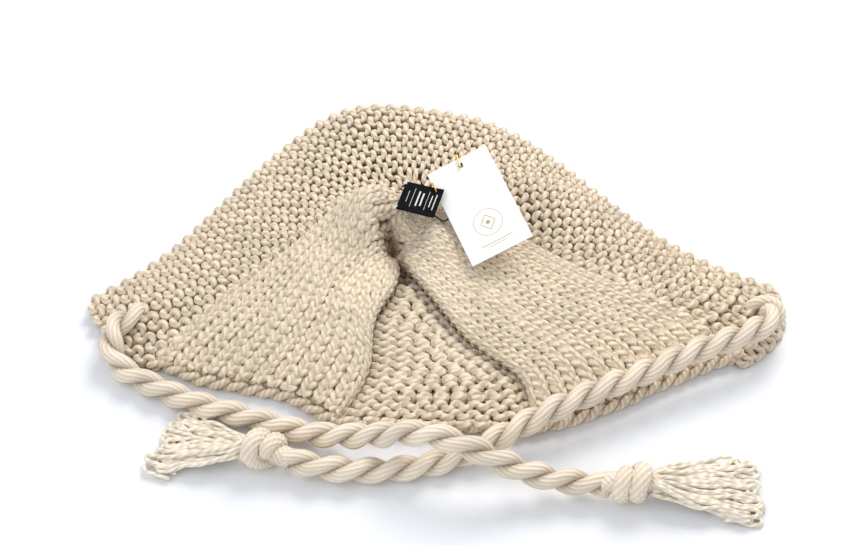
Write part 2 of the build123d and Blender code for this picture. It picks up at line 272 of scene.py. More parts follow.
def yarn_material(name, light, dark, shade_colour, strands, twist):
    """Plied wool: strand lines turn once per twist, with painted shade in the grooves between them, and
    painted shade in the shade colour where the "front" map is low.
    """
    material, tree, shader = nodes_of(name)
    place = tree.nodes.new("ShaderNodeTexCoord")
    blotch = noise(tree, place, 34, 4)
    stray = noise(tree, place, 70, 2)
    fibre = noise(tree, place, 900, 3)

    # Strand lines: a wave over the way along and round the yarn, which wanders a little; its low parts, the
    # grooves between strands, take the dark colour as painted shade
    yarn_map = map_values(tree, "yarn")
    turns = maths(tree, "MULTIPLY", -strands / twist)
    link(tree, yarn_map, 0, turns, 0)
    round_it = maths(tree, "MULTIPLY", float(strands))
    link(tree, yarn_map, 1, round_it, 0)
    phase = maths(tree, "ADD")
    link(tree, turns, 0, phase, 0)
    link(tree, round_it, 0, phase, 1)
    wander = maths(tree, "MULTIPLY_ADD", 0.9)
    link(tree, stray, 0, wander, 0)
    link(tree, phase, 0, wander, 2)
    wave = maths(tree, "MULTIPLY", 2 * math.pi)
    link(tree, wander, 0, wave, 0)
    sine = maths(tree, "SINE")
    link(tree, wave, 0, sine, 0)
    ramp = map_range(tree, sine, {"From Min": -1.0, "From Max": 0.3})
    groove_shaded = colour_mix(tree, {"A": (*dark, 1), "B": (*light, 1)})
    link(tree, ramp, 0, groove_shaded, "Factor")

    # Blotches of lighter and darker wool
    tone = map_range(tree, blotch, {"From Min": 0.3, "From Max": 0.7, "To Min": 0.88, "To Max": 1.06})
    shade = colour_mix(tree, {"Factor": 1.0})
    shade.blend_type = "MULTIPLY"
    link(tree, groove_shaded, "Result", shade, "A")
    link(tree, tone, 0, shade, "B")

    # Painted shade: the shade colour where the "front" map is low, for yarn set further in, in folds and on
    # the undersides of tubes
    depth = map_range(tree, map_values(tree, "front"), {"From Min": -0.15, "From Max": 1.0})
    depth.interpolation_type = "SMOOTHSTEP"
    inside = colour_mix(tree, {"A": (*shade_colour, 1)})
    link(tree, depth, 0, inside, "Factor")
    link(tree, shade, "Result", inside, "B")
    link(tree, inside, "Result", shader, "Base Color")

    # Relief of the strands and their fibres
    mixed = maths(tree, "MULTIPLY_ADD", 0.35)
    link(tree, fibre, 0, mixed, 0)
    link(tree, sine, 0, mixed, 2)
    add_relief(tree, mixed, shader, 0.5, 0.0006)
    set_inputs(
        shader,
        {
            "Roughness": 0.9,
            "Specular IOR Level": 0.15,
            "Sheen Weight": 0.35,
            "Sheen Roughness": 0.5,
            "Sheen Tint": (1.0, 0.93, 0.82, 1),
        },
    )
    return material


def noise_material(name, light, dark, scale, roughness, bump, distance, metallic=0.0):
    """A surface whose colour and relief follow fine noise."""
    material, tree, shader = nodes_of(name)
    grain = noise(tree, tree.nodes.new("ShaderNodeTexCoord"), scale, 4)
    blend = colour_mix(tree, {"A": (*dark, 1), "B": (*light, 1)})
    link(tree, grain, 0, blend, "Factor")
    link(tree, blend, "Result", shader, "Base Color")
    add_relief(tree, grain, shader, bump, distance)
    set_inputs(shader, {"Roughness": roughness, "Metallic": metallic})
    return material


# Strands in each yarn, and the length in which they turn once
KNIT_STRANDS, KNIT_TWIST = 3, 16.0
CORD_STRANDS, CORD_TWIST = 10, -38.0
TASSEL_STRANDS, TASSEL_TWIST = 2, 15.0

# Colour of painted shade on the yarn, where it is set further in, in the crown's folds and on the undersides
# of tubes
SHADE = (0.22, 0.14, 0.075)
knit = yarn_material("knit wool", (0.84, 0.72, 0.56), (0.64, 0.51, 0.35), SHADE, KNIT_STRANDS, KNIT_TWIST)
cord_wool = yarn_material(
    "cord wool", (0.95, 0.83, 0.67), (0.81, 0.67, 0.51), SHADE, CORD_STRANDS, CORD_TWIST
)
tassel_wool = yarn_material(
    "tassel wool", (0.96, 0.88, 0.74), (0.82, 0.70, 0.54), SHADE, TASSEL_STRANDS, TASSEL_TWIST
)
# The sheet behind the stitches stands for the back of the knitting; its dark brown is painted shade in the
# gaps between stitches
painted_shade_backing = noise_material(
    "knit painted shade", (0.26, 0.175, 0.10), (0.14, 0.09, 0.05),
    scale=420, roughness=0.95, bump=0.8, distance=0.001,
)
satin = noise_material(
    "black satin", (0.009, 0.009, 0.011), (0.004, 0.004, 0.005),
    scale=1500, roughness=0.62, bump=0.25, distance=0.0002,
)
set_inputs(satin.node_tree.nodes["Principled BSDF"], {"Specular IOR Level": 0.03})
white_print = noise_material(
    "white weave", (0.82, 0.82, 0.80), (0.55, 0.55, 0.54),
    scale=2600, roughness=0.7, bump=0.4, distance=0.0002,
)
white_thread = noise_material(
    "white thread", (0.86, 0.85, 0.82), (0.62, 0.60, 0.56),
    scale=2200, roughness=0.8, bump=0.5, distance=0.0002,
)
card = noise_material(
    "white card", (0.90, 0.90, 0.885), (0.86, 0.86, 0.845),
    scale=700, roughness=0.55, bump=0.05, distance=0.0001,
)
gold_print = noise_material(
    "gold print", (0.60, 0.47, 0.20), (0.45, 0.34, 0.13),
    scale=2500, roughness=0.4, bump=0.2, distance=0.0001, metallic=0.6,
)
brass = noise_material(
    "brass wire", (0.90, 0.60, 0.16), (0.72, 0.44, 0.09),
    scale=900, roughness=0.28, bump=0.15, distance=0.0001, metallic=1.0,
)
black_thread = noise_material(
    "black string", (0.022, 0.022, 0.024), (0.008, 0.008, 0.009),
    scale=2600, roughness=0.75, bump=0.8, distance=0.0003,
)

# ---------------------------------------------------------------- tie cords
LEFT_ROUTE = [
    (-203, -56, 9.5), (-215, -68, 20), (-225, -84, 19), (-219, -104, 10), (-196, -119, 9),
    (-160, -137, 9), (-122, -149, 9), (-84, -163, 10), (-46, -173, 21), (-8, -183, 41),
    (24, -196, 41), (58, -202, 22), (90, -204, 13), (113, -205, 13),
]
RIGHT_ROUTE = [
    (226, -50, 10), (238, -63, 24), (232, -82, 30), (207, -96, 31), (174, -109, 31),
    (141, -126, 30), (107, -141, 29), (74, -157, 27), (44, -170, 17), (14, -182, 9),
    (-22, -191, 9), (-60, -193, 11), (-84, -189, 13), (-98, -184, 13),
]
CORD_LENGTH = {"left": 0.4194, "right": 0.3960}
CORD_STEP = 1.3  # between points along a cord
ROPE_LAY = 44.0  # length in which the two plies turn once
PLY_OFFSET, PLY_RADIUS = 4.0, 4.8


def cord_line(name, route):
    """Points of the smooth line through a cord's route, in millimetres."""
    data = bpy.data.curves.new(name, "CURVE")
    data.dimensions = "3D"
    data.resolution_u = 24
    line = data.splines.new("NURBS")
    line.points.add(len(route) - 1)
    for point, place in zip(line.points, route):
        point.co = (place[0] * MM, place[1] * MM, place[2] * MM, 1)
    line.order_u = 3
    line.use_endpoint_u = True
    holder = bpy.data.objects.new(name, data)
    bpy.context.scene.collection.objects.link(holder)
    bpy.context.view_layer.update()
    flat = bpy.data.meshes.new_from_object(holder)
    points = np.array([tuple(v.co) for v in flat.vertices]) / MM
    bpy.data.objects.remove(holder)
    return points


def side_and_up(path):
    """Side and up of a line, turned as little as possible along it."""
    tangent = unit(np.gradient(path, axis=0))
    side = np.zeros_like(path)
    side[0] = unit(np.cross(tangent[0], UP))
    for i in range(1, len(path)):
        kept = side[i - 1] - tangent[i] * (side[i - 1] @ tangent[i])
        side[i] = kept / np.linalg.norm(kept)
    return side, np.cross(tangent, side)


def rope(path, offset, radius, lay, sides, lobes, depth, pitch):
    """Two plies of yarn laid left-handed round a line."""
    side, up = side_and_up(path)
    run = run_of(path)
    made = Yarn()
    for ply in (0, 1):
        angle = -2 * math.pi * run / lay + ply * math.pi
        outward = side * np.cos(angle)[:, None] + up * np.sin(angle)[:, None]
        made.add(path + outward * offset, outward, radius, sides, lobes, depth, pitch)
    return made


CORD_PATH = {}
ROPES = {}
for which, route in (("left", LEFT_ROUTE), ("right", RIGHT_ROUTE)):
    line = cord_line(which + " line", route)
    CORD_PATH[which] = even(line, int(CORD_LENGTH[which] / MM / CORD_STEP))
    plies = rope(CORD_PATH[which], PLY_OFFSET, PLY_RADIUS, ROPE_LAY, 40, CORD_STRANDS, 0.065, CORD_TWIST)
    ROPES[which] = plies.build(which + "_cord_plies", cord_wool)


# ---------------------------------------------------------------- knots and tassels
KNOT_LIFT = 3.1  # height of the knot's middle over the cord's end
KNOT_TURNS, KNOT_LEAN = 1.9, 0.4
KNOT_START, KNOT_RUN = 6.0, 20  # where the wraps start past the cord's end, and how far they run
WRAP_SLANT = 4.0  # how far each wrap slants along the knot
WRAP_REACH, WRAP_RADIUS, WRAP_TUCK = 7.4, 6.3, 2.0  # tuck draws in the wraps' two ends
CORE_LENGTH, CORE_RADIUS, CORE_TAPER = 38, 7.2, 1.4
TASSEL_START = 27  # from the cord's end to the tassel's root
TASSEL_ROOT = 7.0  # radius of the bundle where it leaves the knot
TASSEL_LOW, TASSEL_PILE = 2.0, 9.0  # height of the lowest strands, and how high the others pile on them
LOWEST_STRAND = 1.9
LOOPED_SHARE = 0.4  # share of the strands that end in a loop
LOOP_LENGTH = 3.4


def knot(path):
    """An overhand knot: the cord's end wraps round itself, and a core runs through to the tassel."""
    end = path[-1] + UP * KNOT_LIFT
    ahead = path[-1] - path[-6]
    ahead[2] = 0
    ahead = unit(ahead)
    across = np.cross(UP, ahead)
    made = Yarn()
    s = np.linspace(0, 1, 60)
    core = path[-5] + np.outer(s, ahead * CORE_LENGTH) + np.outer(np.clip(s * 3, 0, 1), UP * KNOT_LIFT)
    made.add(core, UP, CORE_RADIUS - CORE_TAPER * s, sides=40, lobes=12, depth=0.06, pitch=60)
    t = np.linspace(0, 1, 150)
    angle = 2 * math.pi * KNOT_TURNS * t + KNOT_LEAN
    reach = WRAP_REACH - WRAP_TUCK * np.abs(2 * t - 1) ** 6
    forward = KNOT_START + KNOT_RUN * t + WRAP_SLANT * np.cos(angle - KNOT_LEAN)
    centre = end + np.outer(forward, ahead)
    wrap = centre + np.outer(reach * np.cos(angle), across) + np.outer(reach * np.sin(angle), UP)
    outward = np.outer(np.cos(angle), across) + np.outer(np.sin(angle), UP)
    radius = WRAP_RADIUS - WRAP_TUCK * np.abs(2 * t - 1) ** 4
    made.add(wrap, outward, radius, sides=44, lobes=12, depth=0.06, pitch=90)
    return made, end + ahead * TASSEL_START, ahead, across


def tassel(root, ahead, across, strands, length, spread, sideways, seed):
    """Loose yarn ends that fan out behind a knot and sink to the surface, some of them looped."""
    source = np.random.default_rng(seed)
    made = Yarn()
    t = np.linspace(0, 1, 46)
    height = (1 - t) ** 1.4
    for number in range(strands):
        share = (number + 0.5) / strands * 2 - 1
        start_angle = source.uniform(0, 2 * math.pi)
        out = source.uniform(0, TASSEL_ROOT)
        start = root + across * out * math.cos(start_angle) + UP * out * math.sin(start_angle)
        reach = length * source.uniform(0.8, 1.04)
        tip = spread / 2 * share * source.uniform(0.85, 1.1) + sideways
        layer = source.uniform(0, 1)
        swing, waves, wave_start = source.uniform(1.2, 3.4), source.uniform(1.2, 2.4), source.uniform(0, 1)
        wobble = swing * np.sin(2 * math.pi * (waves * t + wave_start))
        lateral = tip * t**0.55 + wobble * t
        ground = TASSEL_LOW + TASSEL_PILE * layer * (1 - 0.45 * t)
        lift, lift_start = source.uniform(0, 1.8), source.uniform(0, 1)
        z = start[2] * height + ground * (1 - height)
        z += lift * np.sin(2 * math.pi * (1.6 * t + lift_start)) * t
        path = start + np.outer(t * reach, ahead) + np.outer(lateral, across)
        path[:, 2] = np.maximum(z, LOWEST_STRAND)
        if source.uniform() < LOOPED_SHARE:
            bend = np.linspace(0, math.pi, 14)[1:]
            turn = source.choice((-1, 1)) * source.uniform(2.4, 3.6)
            arc = path[-1] + np.outer(LOOP_LENGTH * np.sin(bend), ahead)
            arc = arc + np.outer(turn * (1 - np.cos(bend)), across)
            back = arc[-1] - np.outer(np.linspace(0, 1, 10)[1:] * source.uniform(8, 20), ahead)
            path = np.concatenate((path, arc, back))
        # front of 1.3: the strands take less painted shade than the other yarn
        made.add(path, UP, source.uniform(1.25, 1.65), 8, TASSEL_STRANDS, 0.05, TASSEL_TWIST, 1.3)
    return made


TASSEL = {
    "left": {"strands": 44, "length": 68, "spread": 50, "sideways": 4, "seed": 3},
    "right": {"strands": 42, "length": 56, "spread": 50, "sideways": 5, "seed": 11},
}
for which in ("left", "right"):
    wraps, root, ahead, across = knot(CORD_PATH[which])
    knot_piece = wraps.build(which + "_knot_wraps", cord_wool)
    tassel_piece = tassel(root, ahead, across, **TASSEL[which]).build(which + "_tassel_yarns", tassel_wool)
    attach(ROPES[which], "root")
    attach(knot_piece, "root")
    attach(tassel_piece, "root")
    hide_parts(which + "_tie_cord")
    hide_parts(which + "_knot")
    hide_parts(which + "_tassel")

# ---------------------------------------------------------------- plan of the knitted pieces
HEM = [
    (-192, -101), (-153, -118), (-98, -132), (-66, -151), (0, -156), (70, -156),
    (126, -136), (170, -113), (208, -96),
]
EDGING = 8.0


def inward(i):
    """A hem point moved towards the hat by the edging's width."""
    (ax, ay), (bx, by) = HEM[max(i - 1, 0)], HEM[min(i + 1, len(HEM) - 1)]
    run = math.hypot(bx - ax, by - ay)
    return (HEM[i][0] - EDGING * (by - ay) / run, HEM[i][1] + EDGING * (bx - ax) / run)


SEAM_SIDE = [inward(i) for i in range(len(HEM))]
LEFT_TIP, RIGHT_TIP = (-246, -42), (243.5, -30)
GATHER, GUSSET_TOP = (-20, 34), (-28, -22)
face_edge = spline(
    [
        LEFT_TIP, (-206, -9), (-159, 53), (-107, 124), (-66, 154), (-22, 157),
        (36, 146), (96, 97), (150, 34), (207, -12), RIGHT_TIP,
    ]
)
left_seam = spline([GATHER, (-60, 20), (-92, -4), (-125, -40), (-158, -66), SEAM_SIDE[0]])
right_seam = spline([GATHER, (26, 14), (75, -14), (126, -44), (172, -64), SEAM_SIDE[8]])
crown_seam = spline([GATHER, (-23, 6), GUSSET_TOP])
gusset_left = spline([GUSSET_TOP, (-30, -48), (-44, -78), (-47, -112), SEAM_SIDE[3]])
gusset_right = spline([GUSSET_TOP, (-14, -36), (4, -62), (25, -90), (45, -105), (62, -120), SEAM_SIDE[5]])
left_hem = spline(SEAM_SIDE[:4])
nape_hem = spline(SEAM_SIDE[3:6])
right_hem = spline(SEAM_SIDE[5:])
left_end = spline([LEFT_TIP, (-237, -62), (-215, -86), HEM[0], SEAM_SIDE[0]])
right_end = spline([RIGHT_TIP, (244.5, -58), (232, -83), HEM[8], SEAM_SIDE[8]])

# ---------------------------------------------------------------- height of the knitting
HALF_FABRIC = 4.5
LOWEST_MIDDLE = 5.0  # the knitting's middle lies no lower than this
RAY_START = 0.3  # metres, above everything
# Places of loose forms, their height, and their reach along x and along y
LOOSE_FORMS = [
    (-8, -13, 21, 14, 14),  # the right side starts rounded
    (-31, -14, -27, 8, 13),  # dark hollow between it and the lump
    (-45, 2, 4, 15, 18),  # lump
    (-16, 40, -13, 8, 15),  # folds where the band is gathered
    (-38, 56, -5, 6, 14),
    (2, 52, -6, 6, 16),
    (-45, 142, 6, 50, 26),  # top of the face edge
]
# Places of painted shade on the yarn, in the crown's hollow and folds: their reach along x and along y, and
# how much shade is painted there
PAINTED_SHADE_PLACES = [(-31, -15, 8, 10, 1.3), (-24, -34, 9, 12, 0.8), (-15, 40, 7, 16, 0.7), (-37, 56, 4, 12, 0.4)]


class Heights:
    """Upper side of some CAD nodes on a grid, carried on past their edges, with loose forms added."""

    step = 2.5
    half_x, half_y = 265, 175
    carried = 9  # steps that heights are carried on past the nodes' edges

    def __init__(self, names, forms):
        self.x = np.arange(-self.half_x, self.half_x + 1, self.step)
        self.y = np.arange(-self.half_y, self.half_y + 1, self.step)
        top = self.cast([self.tree_of(name) for name in names])
        for _ in range(self.carried):
            around = self.shifted(top)
            known = ~np.isnan(around)
            count = known.sum(axis=0)
            mean = np.where(known, around, 0).sum(axis=0) / np.maximum(count, 1)
            top = np.where(np.isnan(top) & (count > 0), mean, top)
        top = np.where(np.isnan(top), np.nanmin(top), top)
        for _ in range(2):
            top = self.shifted(top).mean(axis=0) * 0.8 + top * 0.2
        for form_x, form_y, height, reach_x, reach_y in forms:
            away_x, away_y = (self.x - form_x) / reach_x, (self.y - form_y) / reach_y
            away_x, away_y = np.meshgrid(away_x, away_y, indexing="ij")
            top = top + height * np.exp(-(away_x**2) - away_y**2)
        self.top = top
        self.slope_x, self.slope_y = np.gradient(top, self.step)

    @staticmethod
    def tree_of(name):
        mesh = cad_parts[name].data
        return BVHTree.FromPolygons([v.co[:] for v in mesh.vertices], [p.vertices[:] for p in mesh.polygons])

    def cast(self, trees):
        """The highest hit straight down at each place of the grid, or nan."""
        top = np.full((len(self.x), len(self.y)), np.nan)
        down = Vector((0, 0, -1))
        for i, x in enumerate(self.x):
            for k, y in enumerate(self.y):
                for tree in trees:
                    hit = tree.ray_cast(Vector((x * MM, y * MM, RAY_START)), down)[0]
                    if hit is not None:
                        top[i, k] = np.nanmax((top[i, k], hit.z / MM))
        return top

    @staticmethod
    def shifted(grid):
        """The grid and its eight neighbours."""
        wide = np.pad(grid, 1, mode="edge")
        n, m = grid.shape
        return np.stack([wide[i : i + n, k : k + m] for i in range(3) for k in range(3)])

    def sample(self, grid, xy):
        i = np.clip((xy[..., 0] - self.x[0]) / self.step, 0, len(self.x) - 1.001)
        k = np.clip((xy[..., 1] - self.y[0]) / self.step, 0, len(self.y) - 1.001)
        return between(grid, i, k)

    def normal(self, xy):
        slopes = [-self.sample(self.slope_x, xy), -self.sample(self.slope_y, xy)]
        return unit(np.stack([*slopes, np.ones(xy.shape[:-1])], axis=-1))

    def lift(self, xy, offset, drop=0.0):
        """Points in the knitting over plan points: offset is measured from its middle, square to it."""
        middle = np.maximum(self.sample(self.top, xy) - HALF_FABRIC - drop, LOWEST_MIDDLE)
        normal = self.normal(xy)
        base = np.concatenate([xy, middle[..., None]], axis=-1)
        return base + normal * np.asarray(offset)[..., None], normal


def painted_shade_at(points):
    """How much painted shade darkens the yarn at the bottom of the crown's hollow and folds."""
    total = 0
    for x, y, reach_x, reach_y, amount in PAINTED_SHADE_PLACES:
        away_x, away_y = (points[:, 0] - x) / reach_x, (points[:, 1] - y) / reach_y
        total = total + amount * np.exp(-(away_x**2) - away_y**2)
    return total


crown = Heights(["face_band", "left_side_panel", "right_side_panel"], LOOSE_FORMS)
nape = Heights(["nape_gusset"], [])

# ---------------------------------------------------------------- knitting
YARN = 2.5  # radius of the knitting yarn
COURSE = 6.8  # height of a stitch
STEPS = 18  # points along a stitch
CLOTH_OFFSET = -2.8  # of the band's and the gusset's sheets from the middle of the knitting
UNEVEN_ALONG, UNEVEN_ACROSS = 0.025, 0.055  # wander of the stitches, in stitches and in courses

# Shapes of a stitch: how far its loop rises, its legs swing and its middle stands out, as loops() takes them
STOCKING = {"rise": 0.88, "swing": 0.235, "front": 1.9, "pair": 0.045}
RIDGE = {"rise": 0.64, "swing": 0.12, "front": 1.5}
VALLEY = {"rise": 1.15, "swing": 0.17, "front": 1.2}
PURL = {"rise": 0.76, "swing": 0.14, "front": 1.8}


def loops(first, last, course, rise, swing, front, pair=0.0):
    """Stitch coordinates of one course: u along it in stitches, v across it in courses, and offset.

    The two legs of a stitch lean together into a V, and pair brings them closer than legs of neighbours.
    """
    count = max(int((last - first) * STEPS), 8)
    t = np.linspace(first, last, count)
    turn = 2 * math.pi * t
    uneven_u = UNEVEN_ALONG * np.sin(4.1 * t + 2.3 * course)
    uneven_v = UNEVEN_ACROSS * (np.sin(2.9 * t + 1.7 * course) + np.sin(1.3 * t - 2.9 * course))
    return (
        t + swing * np.sin(2 * turn) + pair * np.sin(turn) + uneven_u,
        course + rise * np.cos(turn) + uneven_v,
        -front * np.cos(2 * turn),
    )


def yarn_radius(pitch, full_pitch, least, most):
    """Radius of yarn that is squeezed where its stitches are closer together than full_pitch."""
    return YARN * np.clip(np.sqrt(pitch / full_pitch), least, most)


class Side:
    """A stocking-stitch side: wales run from the crown seam to the hem, courses across them.

    Plan coordinates are a, from the low edge to the high edge, and b, from the start to the end.
    """

    wales = 12
    lines, places = 41, 161  # lines measured down the side, and places on each
    row_step = 0.25  # courses between the rows at which b is worked out
    edge_start = -0.2  # where a course starts, in stitches from the low edge
    edge_end = 1.2  # how far it passes the last wale, in stitches
    furthest_b = 1.012
    roll_stitches = 1.3  # width of the rolled edge
    roll_turn = 0.62  # how far it rolls, as a share of half a turn
    roll_reach, roll_drop = 2.2, 5.5
    full_pitch = 11.0  # distance of wales at which the yarn has its full radius
    cloth_offset = -2.4  # of the sheet from the middle of the knitting

    def __init__(self, low, high, start, end, outward):
        self.low, self.high, self.start, self.end, self.outward = low, high, start, end, outward
        self.a = np.linspace(0, 1, self.lines)
        b = np.linspace(0, 1, self.places)
        grid = self.plan(np.repeat(self.a[:, None], self.places, 1), np.repeat(b[None, :], self.lines, 0))
        points, _ = crown.lift(grid, np.zeros(grid.shape[:2]))
        run = np.array([run_of(line) for line in points])
        self.length = run[:, -1]
        self.courses = int(self.length.max() / COURSE) + 2
        self.v = np.arange(-1, self.courses + 2, self.row_step)
        at = self.v * COURSE
        rows = []
        for line in run:
            b_at = np.interp(at, line, b)
            b_at += np.where(at > line[-1], (at - line[-1]) / line[-1], 0)
            b_at += np.where(at < 0, at / line[-1], 0)
            rows.append(b_at)
        self.share = np.array(rows)

    def plan(self, a, b):
        """Plan points of the side, blended from its four edges."""
        A, B = a[..., None], b[..., None]
        across = along(self.low, b) * (1 - A) + along(self.high, b) * A
        down = along(self.start, a) * (1 - B) + along(self.end, a) * B
        corners = (self.low[0] * (1 - A) + self.high[0] * A) * (1 - B)
        corners = corners + (self.low[-1] * (1 - A) + self.high[-1] * A) * B
        return across + down - corners

    def b_of(self, a, v):
        """The b at which a line is v courses long."""
        i = np.clip(a, 0, 1) * (self.lines - 1)
        k = np.clip((v - self.v[0]) / self.row_step, 0, len(self.v) - 1.001)
        return between(self.share, i, k)

    def place(self, u, v, offset):
        """3-D points for stitch coordinates; past the last wale the edge rolls down onto the gusset."""
        a = u / self.wales
        over = np.maximum(u - self.wales, 0)
        b = np.minimum(self.b_of(a, v), self.furthest_b)
        xy = self.plan(np.minimum(a, 1), b)
        edge = along(self.high, np.clip(b, 0, 1))
        ahead = along(self.high, np.clip(b, 0, 1) + 0.01) - edge
        out = unit(np.stack([ahead[..., 1], -ahead[..., 0]], -1)) * self.outward
        roll = np.minimum(over, self.roll_stitches) / self.roll_stitches * math.pi * self.roll_turn
        xy = xy + out * (self.roll_reach * np.sin(roll))[..., None]
        return crown.lift(xy, offset, self.roll_drop * (1 - np.cos(roll)))

    def knit(self, name):
        """All courses of the side; those that the hem cuts short stop where the side does."""
        made = Yarn()
        for course in range(0, self.courses):
            reach = np.where(self.length >= (course - 0.3) * COURSE)[0]
            if len(reach) == 0:
                continue
            last = self.a[reach[-1]] * self.wales
            if reach[-1] == self.lines - 1:
                last = self.wales + self.edge_end
            u, v, offset = loops(self.edge_start, last, course + 0.5, **STOCKING)
            points, normal = self.place(u, v, offset)
            near, _ = self.place(u + 0.5, np.full_like(u, course + 0.5), offset * 0)
            far, _ = self.place(u - 0.5, np.full_like(u, course + 0.5), offset * 0)
            radius = yarn_radius(np.linalg.norm(near - far, axis=1), self.full_pitch, 0.74, 1.04)
            # Painted shade: darker where the loops are set further back, and in the crown's hollow and folds
            made.add(points, normal, radius, front=0.62 + offset / 4 - painted_shade_at(points))
        return made.build(name, knit)

    def cloth(self, name):
        """The sheet behind the stitches: it stands for the back of the knitting, and its dark brown is
        painted shade in the gaps between them.
        """
        a, b = np.meshgrid(np.linspace(0, 1, 60), np.linspace(0, 1, 80), indexing="ij")
        points, _ = crown.lift(self.plan(a, b), np.full(a.shape, self.cloth_offset))
        return sheet_object(name, points, painted_shade_backing)


left_side = Side(left_seam, gusset_left, crown_seam, left_hem, -1)
right_side = Side(right_seam, gusset_right, crown_seam, right_hem[::-1], 1)
left_yarn = left_side.knit("left_side_stitches")
right_yarn = right_side.knit("right_side_stitches")
left_cloth = left_side.cloth("left_side_fabric")
right_cloth = right_side.cloth("right_side_fabric")

# Face band: rows cross it from the face edge to the seams, ridge after ridge
BAND_ROWS = 110
BAND_STITCHES = 7
BAND_EDGE = 0.3  # stitches by which a row passes its first and last stitch
BAND_MARGIN = 0.35  # stitches between these and the band's two edges
BAND_PITCH = 5.6  # distance of rows at which the yarn has its full radius
GATHER_AT, GATHER_REACH = 0.498, 0.098  # where the band is gathered and how far that reaches, as shares of it
PLEAT, GATHERED_PLEAT = 2.0, 1.6  # how far ridges stand out and valleys lie in, and what gathering adds
FLAP_BOW = 5  # power with which the bow of the band's ends fades away from the flaps
# Where the same rows meet the face edge and the seams, as lengths from the left flap: only the share of the
# last length counts
OUTER_AT = [0, 121, 210, 265, 308, 367, 440, 518, 591, 635]
INNER_AT = [0, 105, 172, 195, 214, 236, 287, 344, 412, 471]
inner_edge = even(np.concatenate((left_seam[::-1], right_seam[1:])), 480)


def band_plan(a, b):
    """Plan points of the band: a from the face edge to the seams, b from the left flap to the right one."""
    A, B = a[..., None], np.clip(b, 0, 1)[..., None]
    inner_share = np.interp(np.clip(b, 0, 1) * OUTER_AT[-1], OUTER_AT, INNER_AT) / INNER_AT[-1]
    outer, inner = along(face_edge, b), along(inner_edge, inner_share)
    ruled = outer * (1 - A) + inner * A
    left_bow = along(left_end, a) - (left_end[0] * (1 - A) + left_end[-1] * A)
    right_bow = along(right_end, a) - (right_end[0] * (1 - A) + right_end[-1] * A)
    return ruled + left_bow * (1 - B) ** FLAP_BOW + right_bow * B**FLAP_BOW


def squeeze(b):
    """How strongly the band is drawn together at the gather."""
    return np.exp(-(((b - GATHER_AT) / GATHER_REACH) ** 2))


def band_place(u, v, offset):
    """3-D points of the band for stitch coordinates."""
    a = (u + BAND_MARGIN) / (BAND_STITCHES + 2 * BAND_MARGIN)
    b = (v + 0.5) / BAND_ROWS
    xy = band_plan(np.clip(a, -0.06, 1.04), b)
    return crown.lift(xy, offset)


def band_rows(first, last, name):
    """Some rows of the band, by turns a ridge that stands out and a valley that lies in."""
    made = Yarn()
    for row in range(first, last):
        ridge = row % 2 == 0
        u, v, offset = loops(-BAND_EDGE, BAND_STITCHES + BAND_EDGE, row, **(RIDGE if ridge else VALLEY))
        if ridge:
            offset = -offset
        pull = squeeze((row + 0.5) / BAND_ROWS) * np.clip(u / BAND_STITCHES, 0, 1) ** 3.5
        pleat = PLEAT + GATHERED_PLEAT * pull
        offset = offset + (pleat if ridge else -pleat)
        points, normal = band_place(u, v, offset)
        near, _ = band_place(u, np.full_like(u, row + 1.0), offset * 0)
        far, _ = band_place(u, np.full_like(u, row - 1.0), offset * 0)
        radius = yarn_radius(np.linalg.norm(near - far, axis=1) / 2, BAND_PITCH, 0.78, 1.03)
        # Painted shade: darker where rows are set further in and in the crown's folds; yarn at the band's
        # edges and its first and last rows is kept light, however it is set
        edge = 1.1 - 1.4 * np.minimum(u + BAND_EDGE, BAND_STITCHES + BAND_EDGE - u)
        rim = 1.0 if row < 2 or row > BAND_ROWS - 3 else 0.0
        front = np.maximum(0.65 + offset / 4.5, np.maximum(edge, rim)) - painted_shade_at(points)
        made.add(points, normal, radius, front=front)
    return made.build(name, knit)


band_left = band_rows(0, 40, "band_left_stitches")
band_crown = band_rows(40, 72, "band_crown_stitches")
band_right = band_rows(72, BAND_ROWS, "band_right_stitches")
a, b = np.meshgrid(np.linspace(0, 1, 30), np.linspace(0, 1, 200), indexing="ij")
band_points, _ = crown.lift(band_plan(a, b), np.full(a.shape, CLOTH_OFFSET))
band_cloth = sheet_object("band_fabric", band_points, painted_shade_backing)

# Nape gusset: purl bumps in rows that narrow to its top
GUSSET_LENGTH = 131
GUSSET_COURSE, GUSSET_STITCH = 6.0, 11.8
GUSSET_YARN = 0.2  # how much thicker the yarn's radius is here
TUCK_DROP, TUCK_REACH = 6.0, 9  # the gusset dips at its sides, where it goes under their rolled edges


def gusset_plan(a, v):
    """Plan points of the gusset: a from left to right, v from its top to the hem."""
    A, V = a[..., None], np.clip(v, 0, 1)[..., None]
    left, right = along(gusset_left, v), along(gusset_right, v)
    sag = along(nape_hem, np.clip(a, 0, 1)) - (nape_hem[0] * (1 - A) + nape_hem[-1] * A)
    return left * (1 - A) + right * A + sag * V**2


def gusset_knit(name):
    """Rows of purl bumps, with as many stitches as fit each row's width."""
    made = Yarn()
    rows = int(GUSSET_LENGTH / GUSSET_COURSE)
    for row in range(rows + 1):
        v = np.array([(row + 0.3) / rows])
        width = np.linalg.norm(gusset_plan(np.array([1.0]), v) - gusset_plan(np.array([0.0]), v))
        stitches = max(round(width / GUSSET_STITCH), 1)
        u, course, offset = loops(-0.4, stitches + 0.4, row + 0.3, **PURL)
        xy = gusset_plan(u / stitches, course / rows)
        beside = np.minimum(u, stitches - u) * width / stitches
        tuck = TUCK_DROP * np.exp(-np.maximum(beside, 0) / TUCK_REACH)
        points, normal = nape.lift(xy, -offset, tuck)
        # Painted shade: darker where the purl loops are set further back, and near the crown's hollow
        made.add(points, normal, YARN + GUSSET_YARN, front=0.72 - offset / 4.5 - painted_shade_at(points))
    return made.build(name, knit)


